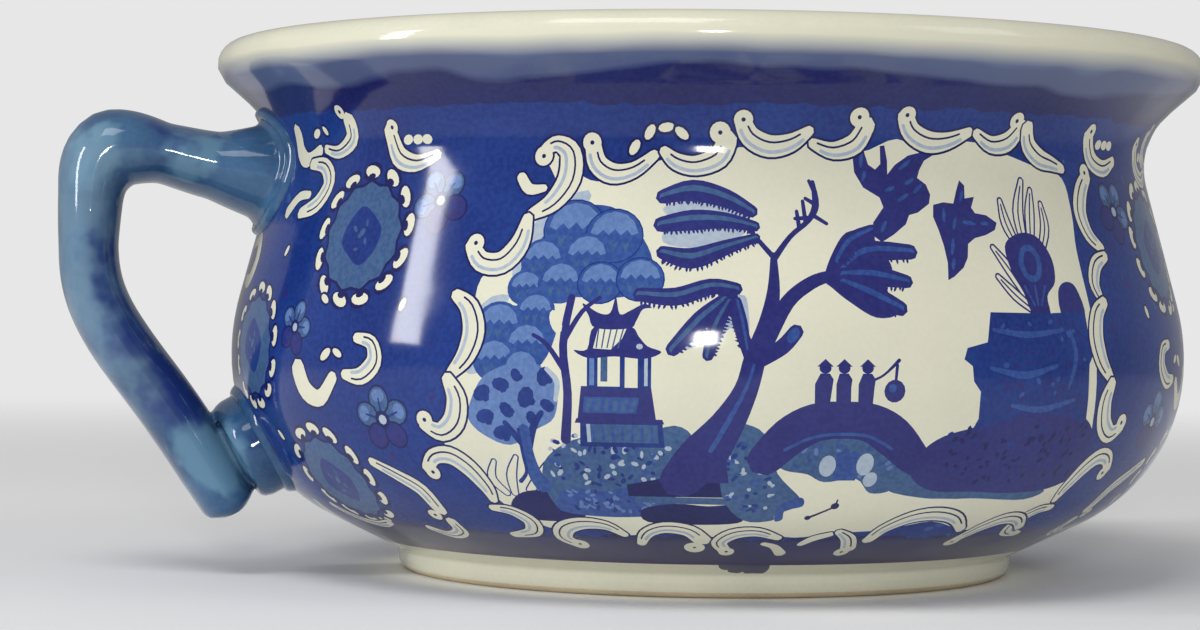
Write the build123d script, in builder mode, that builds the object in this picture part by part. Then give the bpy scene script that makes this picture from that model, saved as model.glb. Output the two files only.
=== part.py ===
"""Chamber pot: a thrown earthenware body with a moulded loop handle luted to its wall.

Millimetres, +Z up. The origin is on the pot's axis, in the plane that the foot stands on.
The handle points along -X, and the pot is the same on both sides of the XZ plane.
"""

import math
import os

from build123d import *

# Body: overall sizes
rim_diameter = 236
pot_height = 125
belly_diameter = 228
foot_diameter = 147.6
foot_height = 5.4
wall = 4.6

# Body: heights of the corners in its outline, and the arcs that round them off
underside_corner = 25.2
belly_corner = 58.5
neck_corner = 103.5
bowl_round = 41.5
belly_round = 51
neck_round = 17

# Body: the rolled lip and the flare that carries it
lip_radius = 5.2
lip_thickness = 9
flare_angle = 41
brim_round = 3.4
brim_base_round = 6

# Body: the foot ring and the floor
foot_round = 3.6
seat_width = 3.6
recess_height = 4.2
recess_slope = 2.6
floor_height = 9.4
heel_round = 30

# Handle: the line down its middle, as distances from the axis and heights
arm_root = (95, 93.4)
arm_waist = (121.5, 96.3)
arm_end = (134, 98.2)
thumb_corner = (144.2, 95.6)
grip_top = (147.8, 84)
grip_middle = (146.3, 67)
grip_foot = (130.4, 42.4)
strap_end = (113, 14.9)

# Handle: the strap's thickness and width at even steps down that line
root_thickness = 25
root_width = 38
mouth_thickness = 23.4
mouth_width = 34
flare_thickness = 16.2
flare_width = 29.4
waist_thickness = 14.6
thumb_thickness = 17.4
strap_thickness = 13.4
strap_width = 27
tail_width = 29
tail_round = 3
strap_sections = (
    (root_thickness, root_width),
    (mouth_thickness, mouth_width),
    (flare_thickness, flare_width),
    (waist_thickness, strap_width),
    (thumb_thickness, strap_width),
    (waist_thickness, strap_width),
    (strap_thickness, strap_width),
    (strap_thickness, strap_width),
    (strap_thickness, strap_width),
    (strap_thickness, strap_width),
    (strap_thickness, strap_width),
    (strap_thickness, (strap_width + tail_width) / 2),
    (strap_thickness, tail_width),
)

# Handle: the oval pads that spread it on to the wall, and how far they stand off it
upper_pad_place = (105, 94)
upper_pad_lean = 0
upper_pad_size = (39, 25.5)
upper_pad_lift = 3.2
lower_pad_place = (108, 30.5)
lower_pad_lean = -29
lower_pad_size = (37, 25)
lower_pad_lift = 5.4
pad_reach = 12

# Slip: the oval beads pressed into the two joints, and how far they stand off the wall
upper_bead_size = (46, 30)
upper_bead_lift = 1.8
lower_bead_size = (45, 33)
lower_bead_lift = 2.6

# Outside of the body, as distances from the axis and heights, up from the foot's seat
foot_radius = foot_diameter / 2
belly_radius = belly_diameter / 2
lip_centre = (rim_diameter / 2 - lip_radius, pot_height - lip_radius)
flare_turn = math.radians(flare_angle)
flare_top = (
    lip_centre[0] + lip_radius * math.sin(flare_turn),
    lip_centre[1] - lip_radius * math.cos(flare_turn),
)
neck = (flare_top[0] - (flare_top[1] - neck_corner) / math.tan(flare_turn), neck_corner)
with BuildLine() as outside:
    seat = Line((foot_radius - foot_round - seat_width, 0), (foot_radius - foot_round, 0))
    foot_bead = CenterArc((foot_radius - foot_round, foot_round), foot_round, -90, 90)
    foot_side = Line(foot_bead @ 1, (foot_radius, foot_height))
    FilletPolyline(
        foot_side @ 1,
        (belly_radius, underside_corner),
        (belly_radius, belly_corner),
        neck,
        flare_top,
        radius=[bowl_round, belly_round, neck_round],
    )
    lip = CenterArc(lip_centre, lip_radius, flare_angle - 90, 180 - flare_angle)


def inner_corner(before, corner, after):
    """Where the inside of the wall turns, square to the outside's lines into and out of a corner."""
    into = (Vector(*corner) - Vector(*before)).normalized()
    out_of = (Vector(*after) - Vector(*corner)).normalized()
    inward = (into + out_of).normalized().rotate(Axis.Z, 90)
    return Vector(*corner) + inward * (wall / inward.dot(into.rotate(Axis.Z, 90)))


# Inside and underside of the body, from the top of the lip back to the seat
brim_radius = rim_diameter / 2 - lip_thickness
foot_top = (foot_radius, foot_height)
underside = (belly_radius, underside_corner)
belly = (belly_radius, belly_corner)
inner_neck = inner_corner(belly, neck, flare_top)
inner_belly = inner_corner(underside, belly, neck)
inner_underside = inner_corner(foot_top, underside, belly)
underside_slope = (underside[1] - foot_height) / (belly_radius - foot_radius)
heel_radius = inner_underside.X - (inner_underside.Y - floor_height) / underside_slope
brim_slope = math.tan(flare_turn)
brim_base = (brim_radius, inner_neck.Y + (brim_radius - inner_neck.X) * brim_slope)
with BuildLine() as inside:
    hollow = FilletPolyline(
        lip @ 1,
        (brim_radius, pot_height),
        brim_base,
        inner_neck,
        inner_belly,
        inner_underside,
        (heel_radius, floor_height),
        (0, floor_height),
        radius=[
            brim_round,
            brim_base_round,
            neck_round + wall,
            belly_round - wall,
            bowl_round - wall,
            heel_round,
        ],
    )
    Polyline(
        hollow @ 1,
        (0, recess_height),
        ((seat @ 0).X - recess_slope, recess_height),
        seat @ 0,
    )

# Body: one turned profile with its rolled lip, neck, belly, floor and foot ring
with BuildPart() as body:
    with BuildSketch(Plane.XZ):
        with BuildLine():
            add(outside.line)
            add(inside.line)
        make_face()
    revolve(axis=Axis.Z)


def space_under(lift):
    """Everything inside a surface that follows the body's outside at a lift."""
    with BuildPart() as space:
        with BuildSketch(Plane.XZ):
            with BuildLine():
                add(outside.line)
                Polyline(lip @ 1, (0, pot_height), (0, 0), seat @ 0)
            make_face()
            if lift > 0:
                offset(amount=lift)
                Rectangle(
                    rim_diameter,
                    rim_diameter,
                    align=(Align.MIN, Align.CENTER),
                    mode=Mode.INTERSECT,
                )
        revolve(axis=Axis.Z)
    return space.part


def in_handle_plane(distance, height):
    """A point in the pot's middle plane, on the handle's side."""
    return Vector(-distance, 0, height)


def facing_wall(place, lean):
    """A plane beside the wall whose normal points away from it, leaning up by some degrees."""
    turn = math.radians(lean)
    return Plane(
        in_handle_plane(*place),
        x_dir=(0, 1, 0),
        z_dir=(-math.cos(turn), 0, math.sin(turn)),
    )


def oval_on_wall(plane, size, lift):
    """An oval pad that follows the wall at a lift, from inside the wall outwards."""
    with BuildPart() as pad:
        with BuildSketch(plane):
            Ellipse(size[0] / 2, size[1] / 2)
        extrude(amount=pad_reach, both=True)
        add(space_under(lift), mode=Mode.INTERSECT)
    return pad.part


body_space = space_under(0)
upper_pad_plane = facing_wall(upper_pad_place, upper_pad_lean)
lower_pad_plane = facing_wall(lower_pad_place, lower_pad_lean)

# Handle: an oval strap that spreads on to the neck, turns at the thumb corner and ends in a tail
with BuildLine() as middle:
    path = (arm_root, arm_waist, arm_end, thumb_corner, grip_top, grip_middle, grip_foot, strap_end)
    Spline(*[in_handle_plane(*point) for point in path])
with BuildPart() as handle:
    for step, (thickness, width) in enumerate(strap_sections):
        along = step / (len(strap_sections) - 1)
        across = Plane(middle.line @ along, x_dir=(0, 1, 0), z_dir=middle.line % along)
        with BuildSketch(across):
            Ellipse(width / 2, thickness / 2)
    sweep(path=middle.line, multisection=True)
    fillet(handle.faces().sort_by(Axis.Z)[0].edges(), tail_round)
    add(oval_on_wall(upper_pad_plane, upper_pad_size, upper_pad_lift))
    add(oval_on_wall(lower_pad_plane, lower_pad_size, lower_pad_lift))
    add(body_space, mode=Mode.SUBTRACT)

# Slip: a bead of soft clay that fills the angle round each end of the handle
with BuildPart() as upper_slip:
    add(oval_on_wall(upper_pad_plane, upper_bead_size, upper_bead_lift))
    add(body_space, mode=Mode.SUBTRACT)
    add(handle.part, mode=Mode.SUBTRACT)

with BuildPart() as lower_slip:
    add(oval_on_wall(lower_pad_plane, lower_bead_size, lower_bead_lift))
    add(body_space, mode=Mode.SUBTRACT)
    add(handle.part, mode=Mode.SUBTRACT)

os.makedirs("parts", exist_ok=True)
for name, piece in (
    ("body", body.part),
    ("handle", handle.part),
    ("upper_slip", upper_slip.part),
    ("lower_slip", lower_slip.part),
):
    piece.label = name
    export_step(piece, f"parts/{name}.step")
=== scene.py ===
import math
import random

import bmesh
import bpy
import numpy as np
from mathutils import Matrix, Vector
from mathutils.geometry import delaunay_2d_cdt


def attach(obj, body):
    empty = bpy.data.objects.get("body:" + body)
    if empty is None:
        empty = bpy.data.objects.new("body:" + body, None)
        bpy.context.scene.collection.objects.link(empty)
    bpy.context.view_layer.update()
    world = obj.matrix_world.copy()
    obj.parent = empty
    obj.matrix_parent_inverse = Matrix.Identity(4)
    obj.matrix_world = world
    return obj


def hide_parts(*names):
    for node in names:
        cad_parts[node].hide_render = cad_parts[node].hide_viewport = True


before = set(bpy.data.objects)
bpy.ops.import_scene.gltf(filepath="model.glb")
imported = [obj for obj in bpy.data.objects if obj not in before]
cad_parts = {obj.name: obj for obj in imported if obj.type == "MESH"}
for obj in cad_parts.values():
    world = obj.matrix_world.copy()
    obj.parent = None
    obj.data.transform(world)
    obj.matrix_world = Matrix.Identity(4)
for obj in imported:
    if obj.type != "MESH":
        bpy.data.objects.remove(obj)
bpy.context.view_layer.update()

# One millimetre in the scene's metres: the pot's own sizes are written in millimetres
mm = 0.001

# Body, as turned: overall sizes
rim_diameter = 236
pot_height = 125
belly_diameter = 228
foot_diameter = 147.6
foot_height = 5.4
wall = 4.6

# Body: heights of the corners in its outline, and the arcs that round them off
underside_corner = 25.2
belly_corner = 58.5
neck_corner = 103.5
bowl_round = 41.5
belly_round = 51
neck_round = 17

# Body: the lip, the foot ring and the floor
lip_radius = 5.2
lip_thickness = 9
flare_angle = 41
brim_round = 3.4
brim_base_round = 6
foot_round = 3.6
seat_width = 3.6
recess_height = 4.2
recess_slope = 2.6
floor_height = 9.4
heel_round = 30

# Handle: the line down its middle, as distances from the axis and heights
handle_line = (
    (95, 93.4), (121.5, 96.0), (133.6, 98.7), (143.2, 98.1),
    (147.5, 84), (146.5, 66.8), (131.1, 41.8), (113.4, 14.6),
)

# Handle: the strap's thickness and width at even steps down that line
strap_sections = (
    (25, 38), (23.4, 34), (16.0, 29.4), (14.2, 27), (19.4, 27), (15.2, 27), (13.8, 27),
    (14.2, 27), (14.6, 27), (14.6, 27), (14.6, 27), (14.2, 28), (12.8, 29),
)
tail_round = 3

# Handle: the oval pads on the wall and the beads of slip round them
upper_pad_place = (105, 94)
upper_pad_lean = 0
upper_pad_size = (39, 25.5)
upper_bead_size = (46, 30)
lower_pad_place = (108, 30.5)
lower_pad_lean = -29
lower_pad_size = (37, 25)
lower_bead_size = (43.5, 29)

# The camera's turn, in degrees: away from the pot's axis, down, and round its own line of sight
camera_swing = 2.02
camera_dip = -0.44
camera_roll = -0.65


def unit(vector):
    """The direction of a vector, as an array."""
    vector = np.array(vector, float)
    return vector / np.linalg.norm(vector)


def rounded_outline(corners, longest=6.0, finest=2.2):
    """Points (distance, height, outward normal) down an outline whose corners are rounded off."""
    rows = []

    def add_row(point, normal):
        rows.append((point[0], point[1], normal[0], normal[1]))

    def add_straight(start, end):
        along = unit(end - start)
        normal = (along[1], -along[0])
        count = max(1, int(np.linalg.norm(end - start) / longest))
        for step in range(count):
            add_row(start + (end - start) * step / count, normal)

    here = np.array(corners[0][:2], float)
    for (bx, by, round_off), after in zip(corners[1:-1], corners[2:]):
        corner = np.array((bx, by), float)
        into = unit(corner - here)
        out_of = unit(np.array(after[:2]) - corner)
        turn = math.atan2(into[0] * out_of[1] - into[1] * out_of[0], into @ out_of)
        reach = round_off * math.tan(abs(turn) / 2)
        start = corner - into * reach
        if (start - here) @ into > 0.1:
            add_straight(here, start)
        side = np.array((-into[1], into[0])) * math.copysign(1, turn)
        centre = start + side * round_off
        count = max(3, int(abs(turn) * round_off / finest), int(abs(turn) / 0.2))
        for step in range(count):
            angle = turn * step / count
            arm = -side * math.cos(angle) + into * math.sin(abs(angle))
            normal = arm if turn > 0 else -arm
            add_row(centre + arm * round_off, normal)
        here = corner + out_of * reach
    add_straight(here, np.array(corners[-1][:2], float))
    last = unit(np.array(corners[-1][:2]) - here)
    add_row(corners[-1][:2], (last[1], -last[0]))
    return np.array(rows)


def inner_corner(before, corner, after):
    """Where the inside of the wall turns, level with a corner of the outside."""
    into, out_of = unit(np.subtract(corner, before)), unit(np.subtract(after, corner))
    inward = unit((-(into + out_of)[1], (into + out_of)[0]))
    return np.array(corner) + inward * wall / (inward @ np.array((-into[1], into[0])))


# Body: the corners of its section, from the middle of the underside to the middle of the floor
foot_radius = foot_diameter / 2
belly_radius = belly_diameter / 2
flare_turn = math.radians(flare_angle)
lip_centre = (rim_diameter / 2 - lip_radius, pot_height - lip_radius)
flare_top = (
    lip_centre[0] + lip_radius * math.sin(flare_turn),
    lip_centre[1] - lip_radius * math.cos(flare_turn),
)
flare_rise = math.tan(flare_turn)
neck = (flare_top[0] - (flare_top[1] - neck_corner) / flare_rise, neck_corner)
lip_corner = (flare_top[0] + (pot_height - flare_top[1]) / flare_rise, pot_height)
foot_top = (foot_radius, foot_height)
underside = (belly_radius, underside_corner)
belly = (belly_radius, belly_corner)
inner_neck = inner_corner(belly, neck, flare_top)
inner_belly = inner_corner(underside, belly, neck)
inner_underside = inner_corner(foot_top, underside, belly)
underside_rise = (underside[1] - foot_height) / (belly_radius - foot_radius)
heel_radius = inner_underside[0] - (inner_underside[1] - floor_height) / underside_rise
brim_radius = rim_diameter / 2 - lip_thickness
brim_base = (brim_radius, inner_neck[1] + (brim_radius - inner_neck[0]) * flare_rise)
seat_radius = foot_radius - foot_round - seat_width
soft_edge = 1.0
body_corners = (
    (0, recess_height),
    (seat_radius - recess_slope, recess_height, soft_edge),
    (seat_radius, 0, soft_edge),
    (foot_radius, 0, foot_round),
    (*foot_top, soft_edge),
    (*underside, bowl_round),
    (*belly, belly_round),
    (*neck, neck_round),
    (*lip_corner, lip_radius),
    (brim_radius, pot_height, brim_round),
    (*brim_base, brim_base_round),
    (*inner_neck, neck_round + wall),
    (*inner_belly, belly_round - wall),
    (*inner_underside, bowl_round - wall),
    (heel_radius, floor_height, heel_round),
    (0, floor_height),
)
body_rows = rounded_outline(body_corners)

# Body: arc length up the outside from the top of the foot, which the print is laid out on
climb = np.concatenate(([0.0], np.cumsum(np.hypot(*np.diff(body_rows[:, :2], axis=0).T))))
foot_row = int(np.argmin(np.hypot(body_rows[:, 0] - foot_radius, body_rows[:, 1] - foot_height)))
climb -= climb[foot_row]
girth_radius = 110
around = 192
print_low, print_high = 0.9, 143.0
row_gap = 3.6


def outline_at(height_up):
    """The section's point and normal at some arc length up the wall."""
    return np.array([np.interp(height_up, climb, body_rows[:, k]) for k in range(4)]).T


def turned(outline, angle):
    """Where points of the section go when they are turned round the axis, and their normals."""
    outline = np.atleast_2d(outline)
    sin, cos = np.sin(angle), np.cos(angle)
    spots = np.stack((outline[:, 0] * sin, -outline[:, 0] * cos, outline[:, 1] + 0 * sin), -1)
    normals = np.stack((outline[:, 2] * sin, -outline[:, 2] * cos, outline[:, 3] + 0 * sin), -1)
    return spots * mm, normals


def new_piece(name, spots, faces, inks=None, normals=None, materials=()):
    """A mesh object at the origin, smooth, with a material slot number for each face."""
    mesh = bpy.data.meshes.new(name)
    mesh.from_pydata([tuple(spot) for spot in spots], [], faces)
    for material in materials:
        mesh.materials.append(material)
    if inks is not None:
        mesh.polygons.foreach_set("material_index", inks)
    mesh.shade_smooth()
    if normals is not None:
        mesh.normals_split_custom_set_from_vertices([tuple(unit(n)) for n in normals])
    mesh.update()
    piece = bpy.data.objects.new(name, mesh)
    bpy.context.scene.collection.objects.link(piece)
    return piece


# The printed decoration, drawn flat in millimetres: x runs round the pot from the middle of the
# front, and y runs up the wall from the top of the foot. Later shapes lie over earlier ones.
CREAM, MIST, PALE, SLATE, MID, DEEP, BAND, RIM, DARK, BARE = range(10)
half_girth = math.pi * girth_radius
edge = half_girth / 2
shapes = []
hand = {"flip": 1, "shift": 0.0}


def lay(points, ink):
    """Put down one flat shape, in the half or the mirrored half that is being drawn."""
    moved = [(hand["flip"] * x + hand["shift"], max(y, print_low + 0.1)) for x, y in points]
    shapes.append(([(min(max(x, -edge + 0.4), edge - 0.4), y) for x, y in moved], ink))


def curve_through(points, closed=False, steps=4):
    """A smooth line through some points."""
    count = len(points)
    line = []
    for i in range(count if closed else count - 1):
        near = [(i + k) % count if closed else min(max(i + k, 0), count - 1)
                for k in (-1, 0, 1, 2)]
        a, b, c, d = (points[k] for k in near)
        for step in range(steps):
            t = step / steps
            line.append(tuple(
                0.5 * (2 * q + (r - p) * t + (2 * p - 5 * q + 4 * r - s) * t * t
                       + (3 * q - p - 3 * r + s) * t ** 3)
                for p, q, r, s in zip(a, b, c, d)
            ))
    return line if closed else line + [tuple(points[-1])]


def blob(ink, *points, steps=4):
    """A soft-edged patch through some points."""
    lay(curve_through(points, closed=True, steps=steps), ink)


def patch(ink, *points):
    """A patch with straight sides."""
    lay(points, ink)


def oval(ink, x, y, wide, high=None, turn=0, sides=16):
    """An oval patch, turned by some degrees."""
    high = wide if high is None else high
    cos, sin = math.cos(math.radians(turn)), math.sin(math.radians(turn))
    ring = []
    for i in range(sides):
        a = 2 * math.pi * i / sides
        u, v = wide * math.cos(a), high * math.sin(a)
        ring.append((x + u * cos - v * sin, y + u * sin + v * cos))
    lay(ring, ink)


def stroke(ink, *points, grow=0.0, slide=0.0, trim=0.0):
    """A brush stroke through (x, y, width) points, round at both ends; slide makes it a hairline
    that far to one side, as a share of the width, and trim shortens both ends."""
    line = curve_through(points)
    cut = int(trim * len(line))
    line = line[cut:len(line) - cut]
    left, right = [], []
    for i, (x, y, width) in enumerate(line):
        ahead, behind = line[min(i + 1, len(line) - 1)], line[max(i - 1, 0)]
        dx, dy = ahead[0] - behind[0], ahead[1] - behind[1]
        size = math.hypot(dx, dy) or 1.0
        dx, dy = dx / size, dy / size
        half = grow if slide else max(width / 2 + grow, 0.08)
        x, y = x - dy * slide * width, y + dx * slide * width
        left.append((x - dy * half, y + dx * half))
        right.append((x + dy * half, y - dx * half))
        if i in (0, len(line) - 1):
            way = 1 if i else -1
            tip = [(x + half * (way * dx * c - dy * s), y + half * (way * dy * c + dx * s))
                   for c, s in ((0.6, 0.8), (1, 0), (0.6, -0.8))]
            left = left + tip if i else tip[::-1] + left
    lay(left + right[::-1], ink)


def scroll(*points, head=None, vein=0.0, fill=CREAM, line=0.5):
    """A C-shaped scroll: a dark edge, a pale body, a vein and a curled head with a dot."""
    stroke(DARK, *points, grow=line)
    if head:
        oval(DARK, *head[:2], head[2] + line)
    stroke(fill, *points)
    if head:
        oval(fill, *head)
    if vein:
        stroke(MIST, *points, grow=0.38, slide=-1.5 * vein, trim=0.16)
        stroke(DARK, *points, grow=0.22, slide=vein, trim=0.12)
    if head:
        oval(DARK, *head[:2], 0.5, sides=8)


def mirrored(draw, shift):
    """Draw something the other way round."""
    hand.update(flip=-1, shift=shift)
    draw()
    hand.update(flip=1, shift=0.0)


def ground():
    """The bands of ink that run right round."""
    across = np.linspace(-edge, edge, around // 2 + 1)
    # The dark band at the foot, with its uneven top edge, is printed and partly painted shade under the belly
    for low, high, ink in ((6.0, 19.0, DARK), (19.0, 123.0, DEEP), (123.0, 141.6, RIM)):
        shapes.append(([(x, low) for x in across] + [(x, high) for x in across[::-1]], ink))
    for x in range(-168, 170, 8):
        drift = random.uniform(-1.2, 1.2)
        oval(DARK, x + drift, 19.2, 5.5, 2.4 + drift)
        oval(RIM, x + drift, 123.1, 5.0, 1.4 + drift * 0.4)


def speckles(count, low, high, inks, size):
    """Loose grains of ink over part of the ground."""
    for _ in range(count):
        x, y = random.uniform(-edge + 2, edge - 2), random.uniform(low, high)
        wide = size * random.uniform(0.6, 1.3)
        oval(random.choice(inks), x, y, wide, wide * random.uniform(0.4, 0.8),
             turn=random.uniform(0, 180), sides=6)


def medallion(x, y, size=1.0):
    """A round flower: curled scallops, a broad ring and a dark heart."""
    for i in range(13):
        a = 2 * math.pi * (i + 0.3) / 13 + random.uniform(-0.04, 0.04)
        cos, sin = math.cos(a), math.sin(a)
        u, v = x + 14.6 * size * cos, y + 14.6 * size * sin
        oval(DARK, u, v, 3.3 * size, 2.2 * size, turn=math.degrees(a) + 90, sides=12)
        oval(CREAM, u, v, 2.6 * size, 1.4 * size, turn=math.degrees(a) + 76, sides=12)
        oval(DARK, u - 1.1 * size * cos, v - 1.1 * size * sin, 1.3 * size, 0.8 * size,
             turn=math.degrees(a) + 90, sides=8)
    lobes = [13.0, 12.1] * 13
    for ink, less in ((DARK, 0.0), (SLATE, 0.7)):
        blob(ink, *[(x + (far - less) * size * math.cos(2 * math.pi * (i + 0.6) / 26),
                     y + (far - less) * size * math.sin(2 * math.pi * (i + 0.6) / 26))
                    for i, far in enumerate(lobes)], steps=2)
    blob(DEEP, *[(x + size * far * math.cos(i * 0.785 + 0.2), y + size * far * math.sin(i * 0.785 + 0.2))
                 for i, far in enumerate((6.4, 5.6, 6.9, 6.0, 6.6, 5.4, 6.8, 6.1))])
    for u, v, big in ((0, 0.6, 1.5), (1.6, -1.2, 0.9), (-2.4, 1.6, 1.0), (1.2, 2.9, 0.9), (-1, -3, 0.8)):
        oval(SLATE, x + u * size, y + v * size, big * size, big * 0.5 * size, turn=u * 40 + 50, sides=8)


def small_flower(x, y, size=1.0, turn=0.0):
    """A flower of notched petals, half of them in shade."""
    for i in range(5):
        a = 2 * math.pi * i / 5 + turn
        cos, sin = math.cos(a), math.sin(a)
        u, v = x + 4.7 * size * cos, y + 4.7 * size * sin
        oval(DARK, u, v, 3.5 * size, 3.2 * size, turn=math.degrees(a), sides=14)
        oval(SLATE if i % 5 < 3 else BAND, u, v, 3.0 * size, 2.7 * size, turn=math.degrees(a), sides=14)
        if i % 5 < 3:
            oval(PALE, x + 5.6 * size * cos, y + 5.6 * size * sin, 1.6 * size, 1.9 * size,
                 turn=math.degrees(a), sides=10)
        stroke(DEEP, (x + 1.6 * size * cos, y + 1.6 * size * sin, 0.7), (x + 5 * size * cos, y + 5 * size * sin, 0.4))
    oval(DARK, x, y, 2.2 * size, sides=12)
    oval(MIST, x, y, 1.2 * size, sides=8)


def half_panel():
    """One half of the border between two views, from the middle of the panel to its edge."""
    medallion(-108.6, 93.2)
    medallion(-122.6, 36.0, 0.95)
    medallion(-149.0, 68.0, 0.92)
    small_flower(-126.5, 72.5, 0.8)
    small_flower(-97.5, 53.0, 0.95, 0.4)
    small_flower(-86.5, 101.0, 0.95, 0.9)
    small_flower(-160.0, 104.0, 0.9, 0.5)
    small_flower(-158.0, 34.0, 0.9, 0.2)
    for x, y, wide, turn in (
        (-134, 117.0, 1.9, 20), (-129.5, 117.5, 1.4, -40), (-114, 66.8, 2.0, 35), (-110, 67.2, 1.6, -25),
        (-116.5, 79.0, 1.6, -30), (-139, 90.0, 1.4, 60), (-92, 78.0, 1.5, 70), (-139.5, 47.5, 1.5, -50),
    ):
        oval(DARK, x, y, wide + 0.6, wide * 0.5 + 0.6, turn=turn, sides=12)
        oval(CREAM, x, y, wide, wide * 0.5, turn=turn, sides=12)
    scroll((-145.3, 117.5, 4.6), (-144.6, 113.5, 4.6), (-140, 111.2, 3.4), (-133, 113.2, 2.6))
    scroll((-130, 113.4, 2.0), (-124, 112.6, 3.0), (-118.4, 115.2, 4.4), (-118, 119.2, 4.6),
           head=(-120.6, 121.6, 1.7), vein=0.12)
    scroll((-137, 110.2, 2.4), (-130, 109.6, 3.6), (-126.2, 105.6, 4.8), (-129.6, 100.8, 4.4), (-137, 98.8, 2.6),
           vein=0.15)
    scroll((-134.5, 103, 1.8), (-140, 102.6, 2.4), (-145, 99.2, 3.2))
    scroll((-104, 70.6, 2.2), (-99.6, 69.6, 3.2), (-98.6, 65.6, 4.2), (-102.6, 62.4, 3.8), (-107.6, 62.6, 2.2),
           vein=0.18)
    scroll((-124.4, 63.2, 5.0), (-121.8, 58.6, 5.0), (-116.6, 57.2, 3.6), (-111.6, 61.8, 2.8))
    scroll((-105, 42.5, 2.4), (-99, 39.4, 3.4), (-93.6, 35.4, 4.4), (-92.2, 29.2, 4.0), head=(-95.2, 27.0, 1.9),
           vein=0.15)
    scroll((-91.6, 24.6, 3.4), (-92.6, 19.8, 4.2), (-98.2, 17.4, 3.8), (-103, 20.6, 2.6), vein=0.15)
    scroll((-140, 26.6, 2.4), (-134, 21.6, 3.6), (-126, 19.6, 3.4), (-118.6, 21.4, 2.4), vein=0.15)
    scroll((-170, 92, 2.2), (-164.6, 93, 3.4), (-161.6, 88, 4.4), (-164.8, 83.2, 4.0), (-170, 83.4, 2.2))
    scroll((-168.6, 56, 2.4), (-163, 52.6, 3.8), (-157.2, 49.4, 3.6), (-152.6, 45.2, 2.2), vein=0.15)
    scroll((-170.4, 117, 4.0), (-167.6, 112.6, 4.0), (-161.6, 112, 3.0), (-156, 115.4, 2.2))
    scroll((-170, 22.6, 2.2), (-163.6, 19.6, 3.6), (-156, 21.6, 3.8), (-152.4, 26.6, 2.4), vein=0.15)


def swag(x, y, wide=1.0, lean=0.0):
    """One pair of scrolls that meet under the rim's band."""
    scroll((x, y + 2.4, 4.0), (x + 2.6 * wide, y - 2.8, 4.6), (x + 8.4 * wide, y - 4.6 + lean, 3.8),
           (x + 14.4 * wide, y - 2.8 + lean, 2.4), head=(x + 0.8, y + 3.4, 1.8), vein=0.16)
    for far in (5.6, 8.6, 11.4):
        oval(CREAM, x + far * wide, y + 0.6, 1.5, 1.1, turn=30 - far * 3, sides=10)


def corner_scrolls():
    """The two scrolls that turn the view's upper corner on the handle's side."""
    scroll((-61.2, 112.2, 2.6), (-58.6, 113.2, 3.4), (-55.6, 111.2, 4.8), (-55.4, 105.6, 5.2), (-58.6, 100.6, 4.2),
           (-63, 98.0, 2.6), head=(-61.8, 110.6, 2.1), vein=0.16)
    scroll((-66.6, 106, 2.2), (-64.4, 103.4, 2.4), (-61, 103.6, 1.6))
    scroll((-76.4, 91, 3.4), (-73.6, 87.6, 4.4), (-68.8, 87.4, 4.8), (-65.2, 91.4, 4.4), (-64, 97, 2.4),
           head=(-75.6, 91.6, 2.0), vein=0.18)


def side_scrolls():
    """The scrolls down one side of the view."""
    scroll((-78.4, 80.2, 2.6), (-75.0, 77.6, 4.2), (-73.4, 72.6, 5.0), (-75.0, 67.4, 4.2), (-78.4, 63.6, 2.4),
           vein=0.2)
    scroll((-79.2, 62.4, 2.8), (-77.4, 58.2, 4.6), (-78.6, 53.4, 5.0), (-82.4, 50.8, 4.2), (-86.2, 52.4, 3.0),
           head=(-86.0, 53.4, 2.0), vein=0.18)
    scroll((-88.6, 41.8, 3.0), (-85.8, 44.8, 3.6), (-81.4, 45.2, 4.4), (-77.4, 42.2, 4.6), (-74.8, 37.4, 3.8),
           (-74.4, 33.8, 2.2), head=(-87.6, 40.8, 1.9), vein=0.16)
    scroll((-75.8, 31.0, 2.0), (-71, 30.2, 3.2), (-67.4, 26.4, 4.4), (-69.2, 21.8, 4.2), (-75.4, 20.0, 2.6),
           vein=0.18)


def right_corner():
    """The scrolls that turn the view's other upper corner."""
    scroll((76.6, 108.8, 3.2), (73, 105.6, 4.4), (70.6, 100.6, 4.8), (72.2, 95.4, 3.8), (76.4, 92.4, 2.4),
           head=(76.0, 109.6, 2.0), vein=-0.18)
    scroll((77, 90.6, 2.4), (72.6, 88.8, 3.8), (70.2, 84.6, 3.8), (71.6, 80.8, 2.2), vein=-0.18)


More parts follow.
